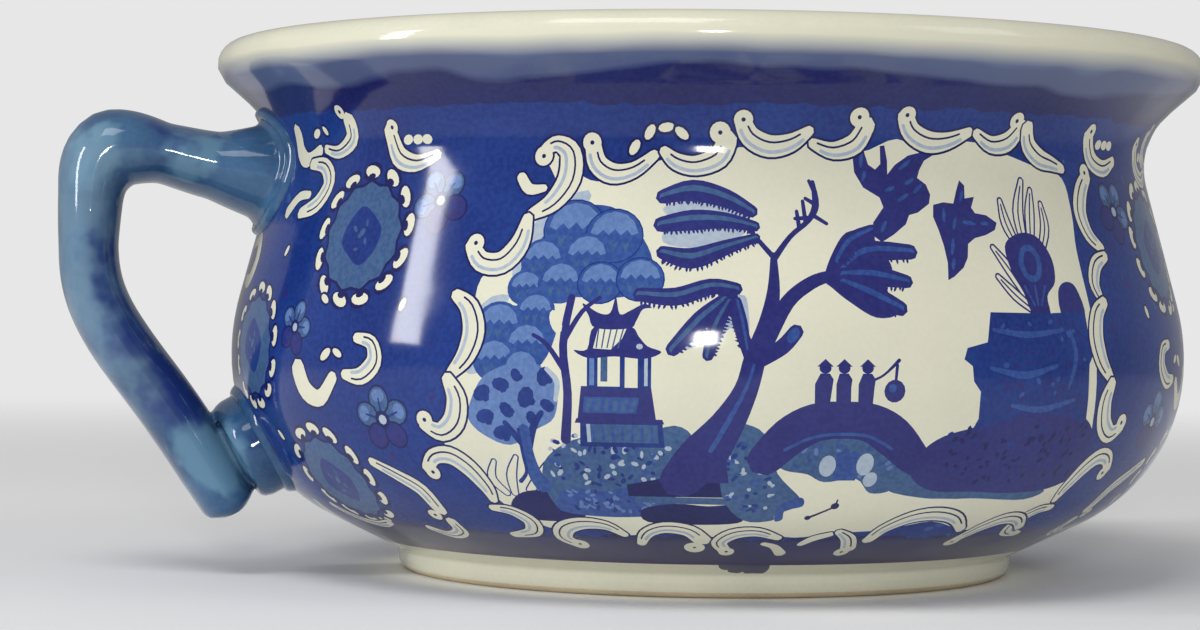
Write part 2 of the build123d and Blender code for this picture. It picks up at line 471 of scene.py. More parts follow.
def top_scrolls():
    """The row of scrolls along the top of the view."""
    scroll((-50.4, 112.9, 3.6), (-49.2, 109, 4.2), (-45.6, 106.8, 4.4), (-41, 107.6, 3.4), (-36.6, 110.8, 2.2),
           head=(-50.6, 113.4, 2.1), vein=0.18)
    scroll((-34.4, 111.6, 2.2), (-31.6, 109.4, 3.6), (-27.4, 108.6, 4.2), (-22.6, 110.4, 4.6), (-20.6, 114, 4.2),
           head=(-22.2, 115.6, 2.3), vein=0.18)
    for x, y, turn in ((-37.6, 115.6, 60), (-34, 116.6, 10), (-30.6, 115.4, -40), (-41, 112.4, 60)):
        oval(DARK, x, y, 2.4, 1.6, turn=turn, sides=10)
        oval(CREAM, x, y, 1.8, 1.0, turn=turn, sides=10)
    scroll((-17.4, 118.2, 3.6), (-15.6, 114.8, 4.4), (-11.4, 112.9, 4.6), (-6.6, 113.7, 3.8), (-2.6, 116.2, 2.2),
           head=(-17.2, 118.4, 2.1), vein=0.18)
    scroll((-1.6, 113.6, 2.2), (3, 112.2, 3.6), (8, 113.8, 4.4), (10.4, 117.6, 4.0), head=(8.6, 119.4, 2.2),
           vein=0.18)
    scroll((19.4, 120, 3.8), (21.4, 116.6, 4.4), (25.8, 114.6, 4.6), (31, 115, 3.6), (36.4, 117, 2.2),
           head=(19.8, 120.2, 2.0), vein=0.18)
    scroll((38.6, 116.8, 2.2), (43, 114.6, 3.6), (48, 115.4, 4.4), (51.2, 118.6, 4.0), head=(49.6, 120.0, 2.0),
           vein=0.18)
    scroll((53.4, 118.6, 3.4), (54.8, 114.8, 4.2), (58.4, 112.2, 4.4), (62.6, 111.2, 3.4), (66.6, 110.2, 2.2),
           vein=0.18)


def bottom_scrolls():
    """The row of scrolls along the foot of the view."""
    scroll((-58.4, 16.0, 4.0), (-61.2, 19.6, 4.8), (-59.4, 24.2, 5.0), (-54.4, 26.6, 4.4), (-48.4, 26.0, 3.4),
           (-44.6, 22.4, 2.2), head=(-58.2, 16.4, 2.5), vein=0.18)
    scroll((-41, 17.9, 2.4), (-38.8, 23.2, 3.6), (-34.2, 25.8, 4.2), (-28.4, 24.6, 4.6), (-25.2, 20.4, 4.8),
           head=(-27.2, 16.2, 2.8), vein=0.16)
    scroll((-19.2, 14.8, 3.6), (-20.8, 19.2, 4.2), (-17.6, 23.4, 4.4), (-11.8, 24.4, 3.6), (-6.2, 21.8, 2.2),
           head=(-18.6, 14.0, 2.2), vein=0.16)
    scroll((-9.2, 18.6, 1.8), (-6.2, 17.0, 2.4), (-3.6, 13.2, 3.2))
    scroll((0.6, 18.4, 2.0), (3, 21.4, 2.6), (6.8, 23.4, 2.0))
    scroll((8.8, 24.4, 2.2), (12.4, 21.2, 3.8), (15, 15.4, 4.2), head=(14.0, 13.6, 2.2), vein=0.16)
    scroll((18.4, 20.4, 3.4), (20, 25.4, 3.8), (25.4, 29.6, 4.2), (32, 30.6, 4.2), (38.6, 28.8, 3.6),
           (43.6, 24.2, 2.4), vein=0.18)
    scroll((46.4, 18.4, 3.4), (49.4, 24, 4.2), (55, 27.6, 4.4), (61, 27.2, 3.6), (66, 23.4, 2.4),
           head=(46.6, 17.6, 2.2), vein=0.18)


def view_ground():
    """The cream opening that the view is drawn on."""
    blob(CREAM, (-62, 112), (-56, 112), (-52, 106), (-45, 105.4), (-34, 110), (-26, 107.2), (-18, 112.6), (-10, 110.8),
         (-1, 114), (9, 112), (18, 115), (26, 112), (36, 115), (46, 113), (58, 110), (66, 108), (67, 100),
         (66, 92), (66.5, 80), (67, 66), (68, 54), (70, 46), (69, 36), (64, 28), (52, 25), (44, 24), (32, 28),
         (20, 25), (8, 24), (-2, 22), (-12, 24), (-22, 22), (-34, 25), (-44, 22), (-54, 26), (-62, 24),
         (-68, 28), (-73, 34), (-76, 42), (-82, 48), (-80, 54), (-78, 62), (-76, 68), (-74, 76), (-73, 84),
         (-66, 90), (-63, 97), (-57, 102))


def foliage_ball(x, y, big):
    """One round head of foliage: a pale cap over a darker, notched underside."""
    oval(DEEP if x > -48 or big > 6 else MID, x, y, big + 0.3, big * 0.94 + 0.3, sides=22)
    oval(MID, x, y, big, big * 0.94, sides=22)
    cap = [(x + big * 0.86 * math.cos(a), y + big * 0.86 * math.sin(a) + 0.1)
           for a in (0.1, 0.6, 1.1, 1.6, 2.1, 2.6, 3.04)]
    notches = [(-0.62, 0.0), (-0.4, 0.22), (-0.2, 0.02), (0.02, 0.24), (0.24, 0.02), (0.46, 0.22), (0.62, 0.02)]
    patch(PALE, *cap, *[(x + big * u, y + big * v) for u, v in notches])
    for u in (-0.42, 0.0, 0.42):
        patch(SLATE, (x + big * (u - 0.16), y - big * 0.16), (x + big * u, y - big * 0.66),
              (x + big * (u + 0.16), y - big * 0.16), (x + big * u, y - big * 0.3))


def ball_tree():
    """The tree with round heads of foliage behind the teahouse."""
    blob(MIST, (-65, 92), (-58, 100), (-50, 102), (-60, 82), (-70, 80), (-76, 72), (-75, 64), (-70, 66), (-66, 80),
         (-66, 86))
    blob(MID, (-60, 93), (-56, 99), (-50, 100), (-44, 99), (-39, 94), (-36, 88), (-37, 82), (-43, 80),
         (-50, 80), (-56, 80), (-62, 78), (-66, 78), (-72, 75), (-73, 69), (-70, 63), (-64, 64), (-58, 66),
         (-55, 74), (-58, 80), (-64, 84), (-63, 89))
    for x, y, big in (
        (-53, 94.5, 6.8), (-44.4, 93.3, 6.0), (-59.5, 88, 4.6), (-50, 89.0, 4.8), (-62.6, 82, 3.8),
        (-55.2, 83.2, 4.6), (-46.7, 83.2, 4.6), (-38.4, 84.0, 4.8), (-60, 77, 4.0), (-67.8, 74, 5.0),
        (-61.4, 70, 4.6), (-68.4, 66.6, 4.6), (-62.4, 65, 4.0),
    ):
        foliage_ball(x, y, big)
    stroke(BAND, (-52.4, 80, 1.6), (-53.6, 70, 1.7), (-52.6, 60, 1.8), (-53.6, 50, 2.2))
    stroke(BAND, (-53.4, 71, 1.2), (-50, 77, 1.0), (-46.5, 80, 0.8))
    stroke(BAND, (-53.4, 65, 1.2), (-57, 70, 1.0), (-60, 72, 0.8))
    oval(CREAM, -55.4, 74.8, 1.2, 2.6, turn=20, sides=12)
    oval(CREAM, -55.2, 60.2, 1.2, 3.4, turn=-14, sides=12)


def spotted_tree():
    """The low tree whose leaves are dotted."""
    blob(PALE, (-74, 58), (-71, 63), (-66, 65.6), (-60, 66.4), (-55, 62), (-55.6, 55), (-60, 52), (-66, 48.4),
         (-72, 50.6), (-75, 54))
    for x, y, big in (
        (-71.4, 59.7, 2.2), (-67, 61.6, 2.0), (-61.6, 59.0, 2.4), (-66, 56.2, 1.9), (-71, 54.7, 2.2),
        (-57.6, 63.4, 2.1), (-67.4, 51.2, 2.3), (-60.6, 54.6, 1.6), (-57.0, 57.4, 1.7), (-63.6, 63.6, 1.5),
    ):
        turn = random.uniform(0, 180)
        oval(DEEP, x, y, big, big * 0.72, turn=turn, sides=9)
        oval(DEEP, x + 0.6, y - 0.5, big * 0.7, big * 0.5, turn=turn + 80, sides=7)
    stroke(MIST, (-57, 65, 0.9), (-54.8, 62.4, 1.2), (-55.2, 58.6, 0.9))
    for x, y in ((-66.6, 53.4), (-58.4, 55.8)):
        stroke(DEEP, (x, y, 1.2), ((x - 62.2) / 2, y - 3, 1.6), (-62.2, 47.6, 2.0))
    stroke(MID, (-62.6, 52, 2.6), (-62.4, 46, 2.8), (-61.6, 41, 3.4), (-60.4, 38.6, 4.4))
    stroke(DEEP, (-63.8, 52, 0.7), (-63.6, 46, 0.7), (-63.6, 42, 0.8), (-65.6, 39.4, 1.0))


def grains(left, right, low, high, count, inks):
    """Short dabs of ink that shade a mound."""
    for _ in range(count):
        oval(random.choice(inks), random.uniform(left, right), random.uniform(low, high),
             random.uniform(0.5, 1.1), random.uniform(0.35, 0.6), turn=random.uniform(0, 180), sides=6)


def islands():
    """The ground of the view: the left mound, the house's mound, the bank and the far island."""
    for points in (((-70, 36, 1.4), (-72.4, 40, 1.8), (-70.8, 44.4, 0.8)),
                   ((-68, 36, 1.4), (-67.4, 41, 2.0), (-65.4, 45.6, 0.8)),
                   ((-64, 37, 1.6), (-61, 40.6, 2.0), (-58.6, 44.2, 0.8)),
                   ((-58, 34, 1.6), (-54.4, 37.6, 2.0), (-52.4, 40.6, 0.8)),
                   ((-56, 31, 1.4), (-52, 33.4, 1.8), (-49.6, 36.4, 0.8))):
        stroke(DEEP, *points, grow=0.35)
        stroke(CREAM, *points)
    blob(DARK, (-70.4, 28.6), (-70, 33), (-66, 36.4), (-60, 37), (-55, 34), (-52.4, 30), (-56, 27.6), (-64, 27.2))
    blob(SLATE, (-59.4, 34), (-60, 42), (-57, 47), (-50, 50.6), (-40, 50.6), (-31, 53.6), (-27, 50), (-30, 42),
         (-33.6, 31.4), (-46, 30), (-56, 30.6))
    grains(-58, -30, 39, 51, 105, (MID, DEEP, MIST))
    blob(MID, (-58, 31), (-57, 36.6), (-52, 38.0), (-46, 37.4), (-40, 39), (-34, 38.2), (-31, 36), (-33, 31),
         (-46, 29.4))
    grains(-56, -35, 31.4, 37.4, 50, (PALE, DEEP, PALE))
    patch(DARK, (-41.5, 36.2), (-20, 36.2), (-16, 41), (-24, 43.6), (-33, 41.4), (-41.5, 39.4))
    patch(SLATE, (-40, 34.4), (-17, 34.0), (-17, 36), (-40, 36.2))
    blob(DARK, (-38, 28), (-38.6, 32.4), (-31, 34.2), (-24, 33.6), (-18, 34), (-15.6, 31), (-17, 28), (-27, 27.2))
    blob(SLATE, (-21.6, 53), (-15, 53.6), (-11.3, 49.6), (-9.4, 42.8), (-3.4, 36), (-4, 33.6), (-8.4, 31),
         (-9, 29), (-15.6, 29), (-21, 37))
    grains(-20, -9.8, 31, 51, 60, (MID, DEEP, MIST))
    blob(MID, (-8.4, 29), (-8.0, 34), (-3.4, 36.4), (-2.6, 33.8), (-6.4, 32.4), (-6.6, 29.4))
    blob(SLATE, (15.4, 38.6), (16, 45), (20, 48), (26, 46), (34, 40), (60, 37.6), (56, 34.4), (40, 35.4), (28, 35.6))
    blob(BAND, (20.6, 42), (21.4, 47.6), (26, 51.4), (34, 53.6), (42, 56.6), (50, 58), (60, 56.6), (67, 53.6),
         (71, 48), (70, 41.4), (62, 37.4), (50, 36.6), (38, 37.4), (27, 38))
    grains(26, 66, 40, 54, 90, (DARK, DARK, DEEP))
    stroke(CREAM, (14, 34.6, 2.4), (26, 34.4, 2.6), (38, 33.6, 3.2), (48, 33.0, 2.0))


def teahouse():
    """The teahouse with its curved roofs, windows and steps."""
    patch(DEEP, (-50.6, 48.6), (-33.0, 48.6), (-33.4, 54.6), (-50.2, 54.6))
    patch(SLATE, (-49.0, 49.6), (-34.2, 49.6), (-34.4, 53.6), (-48.8, 53.6))
    for step in range(7):
        x = -48.6 + step * 2.0
        patch(MID, (x + 0.8, 50), (x + 1.3, 50), (x + 1.3, 53.2), (x + 0.8, 53.2))
    patch(MIST, (-49.0, 49.6), (-48.2, 49.6), (-48.2, 53.6), (-49.0, 53.6))
    patch(BAND, (-50.8, 54.2), (-34.6, 54.2), (-35.6, 61.6), (-49.8, 61.6))
    patch(MID, (-49.6, 56.0), (-38.6, 56.0), (-38.0, 59.4), (-49.2, 59.4))
    for step in range(6):
        x = -49 + step * 1.8
        patch(SLATE, (x, 56.4), (x + 0.9, 56.4), (x + 1.5, 59), (x + 0.6, 59))
    patch(BAND, (-51.4, 53.8), (-33.0, 53.8), (-33.4, 54.8), (-51.0, 54.8))
    patch(DEEP, (-48.6, 61.0), (-35.6, 61.0), (-35.6, 69), (-48.6, 69))
    patch(CREAM, (-46.4, 61.6), (-41.9, 61.6), (-41.9, 68.2), (-46.4, 68.2))
    patch(SLATE, (-45.8, 62.6), (-44.4, 62.6), (-44.4, 68.2), (-45.8, 68.2))
    patch(CREAM, (-40.9, 61.4), (-38.3, 61.4), (-38.3, 68), (-40.9, 68))
    patch(PALE, (-48.1, 61.8), (-47.1, 61.8), (-47.1, 67.6), (-48.1, 67.6))
    patch(MIST, (-37.0, 61.8), (-36.3, 61.8), (-36.3, 67.6), (-37.0, 67.6))
    blob(BAND, (-51.4, 69.0), (-48.6, 69.2), (-47.2, 74.0), (-40, 74.0), (-38.2, 72), (-36.4, 70.0), (-33.6, 68.8),
         (-37, 67.4), (-43, 67.8), (-48.4, 67.4))
    patch(CREAM, (-47.4, 69.4), (-43.8, 69.2), (-41.6, 71.4), (-40.6, 73.8), (-46.4, 73.8))
    for step in range(5):
        x = -46.9 + step * 1.1
        patch(SLATE, (x, 69.5), (x + 0.3, 69.5), (x + 0.7 + step * 0.16, 73.6), (x + 0.4 + step * 0.16, 73.6))
    oval(MIST, -38.0, 69.9, 0.7, 0.6, sides=8)
    blob(BAND, (-50.0, 78.8), (-48.6, 76.2), (-47.0, 73.6), (-40.2, 73.6), (-38.8, 75.2), (-37.6, 77.6), (-35.8, 78.0),
         (-37.4, 78.8), (-40, 77.4), (-42.2, 76.6), (-43.2, 80.2), (-44.2, 76.8), (-46.6, 76.8))


def frond(*points, fringe=-1, ink=BAND):
    """A willow frond: pale along one edge and dark, with a fringe, along the other."""
    line = curve_through(points)
    for i, (x, y, width) in enumerate(line[:-1]):
        dx, dy = line[i + 1][0] - x, line[i + 1][1] - y
        size = math.hypot(dx, dy) or 1.0
        u, v = -dy / size * fringe, dx / size * fringe
        for part in (0.0, 0.5):
            at_x, at_y = x + dx * part + u * width * 0.5, y + dy * part + v * width * 0.5
            oval(ink, at_x, at_y, random.uniform(0.7, 1.2), 0.3, sides=6,
                 turn=math.degrees(math.atan2(v, u)) + random.uniform(-25, 25))
    stroke(ink, *points, grow=0.15)
    paler = [(x, y, width * 0.55) for x, y, width in points]
    stroke(SLATE if fringe > 0 else MID, *paler, trim=0.06)
    side = [(x, y, width) for x, y, width in points]
    for i, (x, y, width) in enumerate(side):
        after, before = side[min(i + 1, len(side) - 1)], side[max(i - 1, 0)]
        dx, dy = after[0] - before[0], after[1] - before[1]
        size = math.hypot(dx, dy) or 1.0
        side[i] = (x - dy / size * fringe * width * 0.26, y + dx / size * fringe * width * 0.26, width * 0.5)
    stroke(ink, *side)


def willow():
    """The leaning willow and its hanging fronds."""
    blob(MIST, (-17, 101), (-26, 101.6), (-34, 99.6), (-33, 97), (-34, 92), (-26, 91), (-17, 94))
    blob(MIST, (-18, 81), (-26, 78), (-31, 70), (-27, 70), (-23, 74), (-24, 68), (-20, 74), (-16.6, 70), (-16.4, 78))
    stroke(BAND, (-30, 40.6, 9), (-25.4, 46.6, 10), (-20.4, 54.0, 7.0), (-16.8, 61.2, 4.8), (-15, 68, 4.4),
           (-12.6, 75, 3.6), (-11.2, 82, 2.6), (-11, 89.5, 1.3))
    patch(BAND, (-35, 40.2), (-28, 44.4), (-21, 50), (-19.6, 40.2))
    stroke(MID, (-23.6, 48, 1.0), (-19.8, 55.4, 1.0), (-16.6, 62, 0.7), (-14.8, 68, 0.5))
    stroke(BAND, (-11, 89, 1.2), (-14, 92.5, 1.0), (-17.6, 97, 0.9))
    stroke(BAND, (-11, 88.6, 1.4), (-7.4, 93.5, 1.1), (-3.4, 97, 1.2), (-1.6, 100.4, 1.6), (-2.0, 105.4, 0.9))
    for x, y, u, v in ((-5.4, 95.6, -5.8, 99.0), (-4.0, 97.0, -4.4, 101.2), (-2.6, 98.4, 0.6, 96.4),
                       (-1.8, 100.6, -3.8, 101.8), (-1.8, 103.4, -2.8, 105.6), (-3.4, 97.6, -6.2, 97.4)):
        stroke(BAND, (x, y, 1.0), (u, v, 0.8))
    stroke(BAND, (-13, 71, 3.4), (-8.5, 79.4, 3.0), (-3.5, 83.6, 2.8), (0.6, 85.2, 2.4))
    stroke(BAND, (-14, 67.4, 3.0), (-9.6, 70.2, 3.2), (-6.8, 73.4, 3.0))
    oval(MID, -7.4, 72.6, 1.1, 1.8, turn=-30, sides=10)
    stroke(BAND, (-16, 68, 2.6), (-18.2, 74.6, 2.6), (-19.6, 80.6, 2.2))
    frond((-15.4, 98.8, 2.4), (-21, 101.6, 3.8), (-28, 103.2, 4.4), (-34.4, 101.8, 2.8), fringe=1)
    frond((-14.8, 95.6, 2.0), (-21, 96.8, 3.2), (-28, 96.8, 4.2), (-34.6, 95.8, 3.0), fringe=1)
    frond((-14.6, 93.2, 1.6), (-21, 91.0, 3.0), (-28, 88.6, 4.2), (-34.0, 89.8, 2.6), fringe=1)
    frond((-18.8, 82.2, 2.4), (-24, 82.6, 3.2), (-31, 80.4, 3.6), (-38.4, 80.8, 2.6), fringe=1)
    frond((-21.0, 80.0, 2.4), (-25.8, 75.6, 3.6), (-31.4, 69.4, 2.6), fringe=1)
    frond((-20.2, 79.6, 1.8), (-22.8, 74.2, 2.8), (-24.4, 68.2, 2.0), fringe=1)
    frond((-18.8, 79.6, 1.8), (-17.8, 75.0, 2.2), (-16.8, 69.8, 1.4))
    blob(BAND, (-0.6, 84.6), (1.4, 90), (4.8, 94.6), (9.6, 94.6), (12, 91.6), (14.4, 87), (12.6, 83), (15, 77.6),
         (10, 76.4), (4.6, 79.6), (1, 82.6))
    frond((3.6, 86.6, 2.6), (9, 90.4, 4.2), (19.0, 90.6, 3.0), ink=BAND)
    frond((3.6, 85.6, 2.6), (10, 85.4, 4.2), (17.4, 84.2, 2.6), ink=BAND)
    frond((3.4, 84.0, 2.6), (9, 81.4, 4.4), (15.4, 78.4, 3.0), ink=BAND)
    frond((2.6, 88.6, 2.6), (5.6, 92.6, 3.4), (10.6, 95.2, 2.2), ink=BAND)


def bridge():
    """The bridge with three small shapes crossing it, and a hanging ball."""
    blob(SLATE, (-10, 46), (-6, 50), (-1, 51.6), (4.4, 52), (9.6, 51.4), (14.8, 49), (19.4, 43.4), (17, 38.4),
         (12, 37.6), (8, 41.4), (1, 40.6), (-3, 42.6), (-8, 43.6))
    grains(-6, 17, 42, 50, 30, (MID, PALE))
    stroke(BAND, (-12.4, 46, 7.6), (-7.6, 51.4, 8.6), (-2.5, 54.4, 8.4), (3.4, 55, 8.0), (9.2, 54.4, 8.2),
           (14.4, 51.4, 8.6), (20.4, 46, 7.0), (25.6, 42.6, 4.4))
    stroke(MID, (-8.4, 48.4, 0.7), (-3, 51.2, 0.7), (3.4, 52, 0.7), (9.4, 51.4, 0.7), (14.6, 48.6, 0.7))
    patch(MID, (2.6, 41), (7.8, 41), (7.8, 48), (2.6, 48))
    oval(MIST, 1.1, 44.6, 1.8, 2.6)
    oval(MIST, 9.3, 45.0, 1.9, 2.7)
    oval(MIST, 11.2, 41.2, 1.6, 1.9)
    for x, lean in ((-1.4, 0.5), (3.0, 0.0), (7.6, 0.3)):
        patch(BAND, (x - 1.5, 58.2), (x + 1.6, 58.2), (x + 1.5 + lean, 62.0), (x + 1.7 + lean, 63.6),
              (x + 0.9 + lean, 64.8), (x - 1.0 + lean, 64.8), (x - 1.6, 62.6))
        oval(BAND, x + lean, 65.9, 1.25, 1.15, sides=12)
        patch(BAND, (x + lean - 1.7, 66.2), (x + lean + 1.7, 66.2), (x + lean, 67.8))
    stroke(BAND, (9.0, 63.4, 0.6), (11.4, 64.6, 0.5), (14.6, 67.6, 0.8))
    stroke(BAND, (14.2, 66.6, 0.7), (13.9, 63, 0.6))
    oval(BAND, 13.8, 61.2, 2.3, 2.4, sides=14)
    oval(MID, 13.3, 61.8, 0.9, sides=10)


def boat():
    """The bare stalk that floats on the water below the bridge."""
    stroke(DARK, (-0.7, 30.0, 0.8), (2.2, 31.8, 0.6), (4.9, 33.6, 0.6))
    oval(DARK, -0.7, 30.0, 0.8, sides=8)
    oval(DARK, 4.9, 33.8, 1.0, sides=10)
    stroke(DARK, (4.9, 33.6, 0.5), (5.1, 35.6, 0.4))


def birds():
    """The two flying birds."""
    patch(BAND, (15.4, 107.4), (17.4, 109.5), (20.8, 111.6), (24.2, 112.4), (27.8, 112.2), (24.8, 110.6), (23.4, 108.6),
          (22.6, 106.8), (24.6, 105.4), (25.4, 103.2), (24.8, 101.2), (21.8, 99.2), (19.6, 98.6), (18.6, 96.6), (15.4, 94.2),
          (12.6, 92.6), (10.8, 94.0), (11.0, 96.8), (13.7, 100.2), (13.0, 102.3), (9.4, 104.4), (7.6, 107.7), (7.4, 112),
          (8.4, 115.4), (9.6, 116.6), (10.2, 112), (11.0, 109.4), (12.6, 108.4), (13.9, 109.6), (13.9, 113.4),
          (15.0, 113.6), (15.6, 110.4))
    patch(BAND, (25.8, 101.0), (28.4, 101.6), (31.0, 101.4), (32.2, 104.2), (33.4, 106.6), (34.6, 105.4), (34.2, 102.6),
          (36.8, 103.0), (35.6, 100.6), (36.4, 99.4), (39.4, 99.0), (42, 97.4), (41.2, 95.8), (38.4, 94.6),
          (35.4, 93.9), (33.4, 92.6), (32.8, 89.6), (31.4, 87.4), (28.8, 85.4), (27.2, 84.6), (27.6, 88.4),
          (27.2, 92), (26.4, 95.4), (25.4, 98.4))
    for x, y, turn, wide in ((9.4, 110.4, 84, 1.8), (9.8, 107.0, 70, 1.3), (19.8, 109.6, 35, 2.0), (22.4, 104.4, 40, 1.6),
                             (18.6, 102.4, 30, 1.8), (20.6, 106.0, 30, 1.4), (13.4, 96.0, 60, 1.5), (15.6, 104.2, 20, 1.4),
                             (28.2, 98.8, 84, 1.6), (30.6, 97.0, 70, 1.4), (34.4, 97.2, -8, 1.8), (29.4, 92, 76, 2.0),
                             (29.0, 88.2, 76, 1.4), (33.4, 103.2, 66, 1.4), (38.6, 97.2, 0, 1.2)):
        oval(MID, x, y, wide, 0.45, turn=turn, sides=8)


def hollow_leaf(*points):
    """A leaf drawn as an outline."""
    stroke(BAND, *points, grow=0.45)
    stroke(CREAM, *points)
    stroke(BAND, *[(x, y, 0.4) for x, y, _ in points], trim=0.15)


def far_plant():
    """The plant and the block of rock behind the bridge's far end."""
    for points in (((46.6, 93, 1.4), (44.6, 97.4, 2.2), (43.9, 102.4, 0.8)), ((49, 93, 1.6), (48.8, 100, 2.6), (51.4, 107, 1.0)),
                   ((51, 93, 1.6), (52.4, 100, 2.4), (53.8, 105, 0.8)), ((53.6, 91, 1.4), (56.4, 96.6, 2.2), (56.4, 102.0, 0.8)),
                   ((48, 80, 1.4), (43.8, 86.8, 2.2), (39.8, 92, 0.8)), ((48, 78.6, 1.4), (44, 81.6, 2.0), (40, 85.6, 0.8))):
        hollow_leaf(*points)
    blob(BAND, (48.2, 77), (46.4, 82), (43.9, 87), (43.2, 92.2), (46, 94.6), (50, 95.4), (54, 94), (56.8, 89.6),
         (56.4, 84.6), (53.2, 81.4), (53, 77))
    oval(MID, 49.8, 88.6, 3.4, 4.2, sides=14)
    oval(BAND, 49.8, 88.6, 2.0, 2.8, sides=12)
    for x in (47, 50, 53):
        stroke(MID, (x, 83.6, 0.6), ((x + 100) / 3, 79.4, 0.5))
    blob(BAND, (57, 77), (56.8, 82.4), (59.6, 84.6), (63, 83.4), (64.2, 77))
    patch(DEEP, (36.6, 77.8), (35.2, 71.4), (30.2, 70.2), (29.4, 67.8), (31.4, 66.4), (31.8, 63.2), (33.6, 61), (33.8, 55.2),
          (32.6, 52.6), (42, 55.0), (50, 56.4), (60, 55), (65.4, 53.6), (64.5, 66.6),
          (66.4, 69.5), (64.6, 73), (64.4, 78.2), (52, 77.6))
    grains(37, 63, 56, 76, 60, (MID, BAND, BAND))
    for points in (((37, 74, 0.8), (46, 73, 1.4), (56, 74, 0.8)), ((36, 66, 0.8), (45, 64.4, 1.6), (54, 66.4, 0.8)),
                   ((42, 58, 0.8), (50, 57, 1.4), (60, 59, 0.8)), ((58, 62, 0.8), (60, 68, 1.4), (58.6, 74, 0.8))):
        stroke(MID, *points)


def ink_smear():
    """The smear where wet ink ran on to the foot."""
    for x, y, wide, high in ((-17.6, 6.4, 2.6, 3.4), (-13.6, 5.4, 2.8, 4.4), (-9.6, 4.8, 2.6, 4.8),
                             (-6.6, 3.6, 2.2, 3.4), (-15.6, 2.8, 1.6, 1.4), (-8.0, 6.6, 3.4, 2.6)):
        oval(DARK, x, y, wide, high, turn=-12)


def whole_print():
    """Everything on the half of the wall that the print covers once; it repeats behind."""
    random.seed(4)
    ground()
    speckles(150, 20, 117, (MID, BAND, BAND), 1.3)
    half_panel()
    mirrored(half_panel, 0.0)
    view_ground()
    islands()
    ball_tree()
    spotted_tree()
    teahouse()
    willow()
    far_plant()
    bridge()
    boat()
    birds()
    corner_scrolls()
    right_corner()
    side_scrolls()
    mirrored(side_scrolls, -6.0)
    top_scrolls()
    bottom_scrolls()
    for x, y in ((-104, 114), (77, 115.5), (108, 114), (142, 115)):
        swag(x, y)
    ink_smear()


def print_sheet():
    """The front half of the printed wall, cut along every edge of the drawing."""
    left = -half_girth / 2
    columns = [left + half_girth * k / (around // 2) for k in range(around // 2 + 1)]
    levels = [print_low + (print_high - print_low) * k / round((print_high - print_low) / row_gap)
              for k in range(round((print_high - print_low) / row_gap) + 1)]
    spots = [Vector((x, y)) for y in levels for x in columns]
    edges = []
    width = len(columns)
    for j in range(len(levels)):
        for i in range(width - 1):
            if j in (0, len(levels) - 1):
                edges.append((j * width + i, j * width + i + 1))
    for j in range(len(levels) - 1):
        edges.append((j * width, (j + 1) * width))
        edges.append((j * width + width - 1, (j + 1) * width + width - 1))
    for points, ink in shapes:
        first = len(spots)
        spots += [Vector(point) for point in points]
        edges += [(first + i, first + (i + 1) % len(points)) for i in range(len(points))]
    cut = delaunay_2d_cdt(spots, edges, [], 0, 1e-5, False)
    flat = np.array([tuple(spot) for spot in cut[0]])
    triangles = np.array([face for face in cut[2]])
    inside = (np.abs(flat[:, 0]) <= half_girth / 2 + 1e-3)
    triangles = triangles[inside[triangles].all(axis=1)]
    a, b, c = (flat[triangles[:, k]] for k in range(3))
    area = (b[:, 0] - a[:, 0]) * (c[:, 1] - a[:, 1]) - (b[:, 1] - a[:, 1]) * (c[:, 0] - a[:, 0])
    triangles = np.where((area < 0)[:, None], triangles[:, ::-1], triangles)
    middles = flat[triangles].mean(axis=1)
    inks = np.zeros(len(triangles), int)
    for points, ink in shapes:
        ring = np.array(points)
        low, high = ring.min(axis=0), ring.max(axis=0)
        near = np.flatnonzero(((middles >= low) & (middles <= high)).all(axis=1))
        if len(near) == 0:
            continue
        x, y = middles[near, 0][:, None], middles[near, 1][:, None]
        ax, ay = ring[:, 0][None], ring[:, 1][None]
        bx, by = np.roll(ring, -1, axis=0).T[:, None]
        side = (bx - ax) * (y - ay) - (x - ax) * (by - ay)
        winding = ((ay <= y) & (by > y) & (side > 0)).sum(axis=1) \
            - ((ay > y) & (by <= y) & (side < 0)).sum(axis=1)
        inks[near[winding != 0]] = ink
    return flat, triangles, inks


